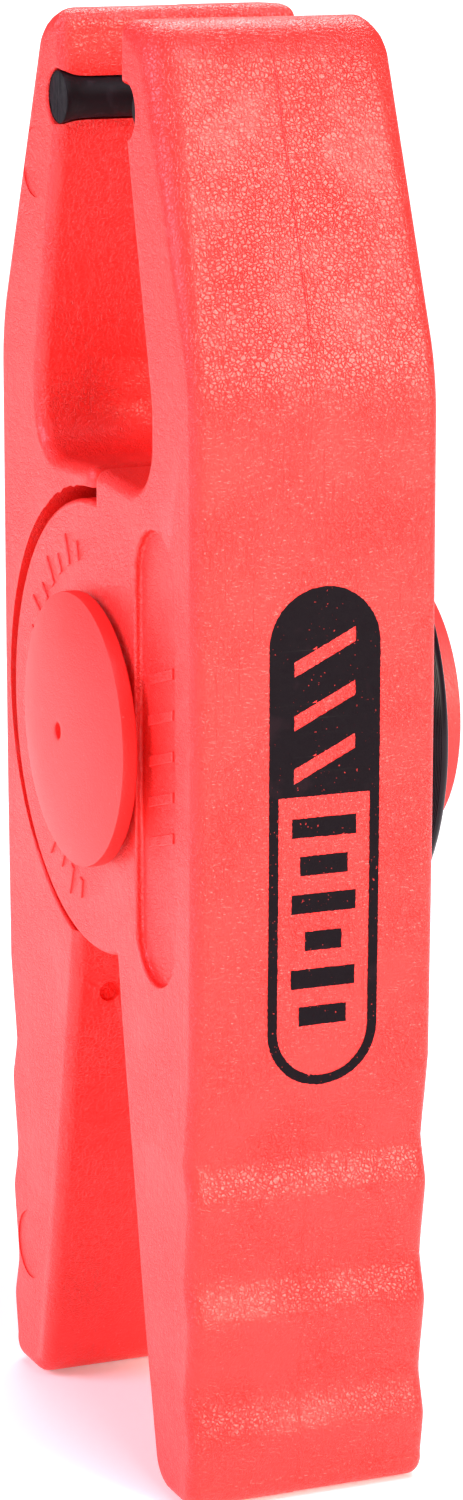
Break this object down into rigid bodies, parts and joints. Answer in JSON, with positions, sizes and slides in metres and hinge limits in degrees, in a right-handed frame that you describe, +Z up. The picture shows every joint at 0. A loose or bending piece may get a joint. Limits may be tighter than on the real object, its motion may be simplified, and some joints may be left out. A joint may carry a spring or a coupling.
{
  "type": "spring clamp",
  "caption": "Plastic spring clamp: two lapped arms on a sprung pivot, a rubber cord in each jaw, ridged finger grips and domed pivot caps.",
  "frame": {"origin": "on the ground under the middle of the whole part's box, between the feet of the two handles", "axes": "+Z up from the handle ends to the jaw tips; +X along the pivot axle towards the black collar; +Y from the front arm to the rear arm"},
  "size_m": [0.0422, 0.055, 0.15],
  "materials": {
    "arm_plastic": "fine-textured moulded red plastic",
    "cap_plastic": "smooth moulded red plastic",
    "cord_rubber": "matt black rubber",
    "collar_plastic": "turned black plastic",
    "sleeve_plastic": "natural plastic",
    "spring_steel": "drawn spring wire",
    "axle_steel": "drawn tube"
  },
  "bodies": {
    "rear_lever": {"rear_arm": "arm_plastic", "rear_jaw_cord": "cord_rubber", "pivot_axle": "axle_steel", "spacer_sleeve": "sleeve_plastic", "left_cap": "cap_plastic", "right_cap": "cap_plastic", "collar_ring": "collar_plastic", "torsion_spring": "spring_steel"},
    "front_lever": {"front_arm": "arm_plastic", "front_jaw_cord": "cord_rubber"}
  },
  "joints": [
    {"name": "lever_pivot", "type": "hinge", "parent": "rear_lever", "child": "front_lever", "pos_m": [-0.00385, 0, 0.077], "axis": [1, 0, 0], "range_deg": [0, 22], "stiffness_Nm_per_rad": 1.2, "springref_deg": -34.38, "deforming": ["torsion_spring"]}
  ]
}
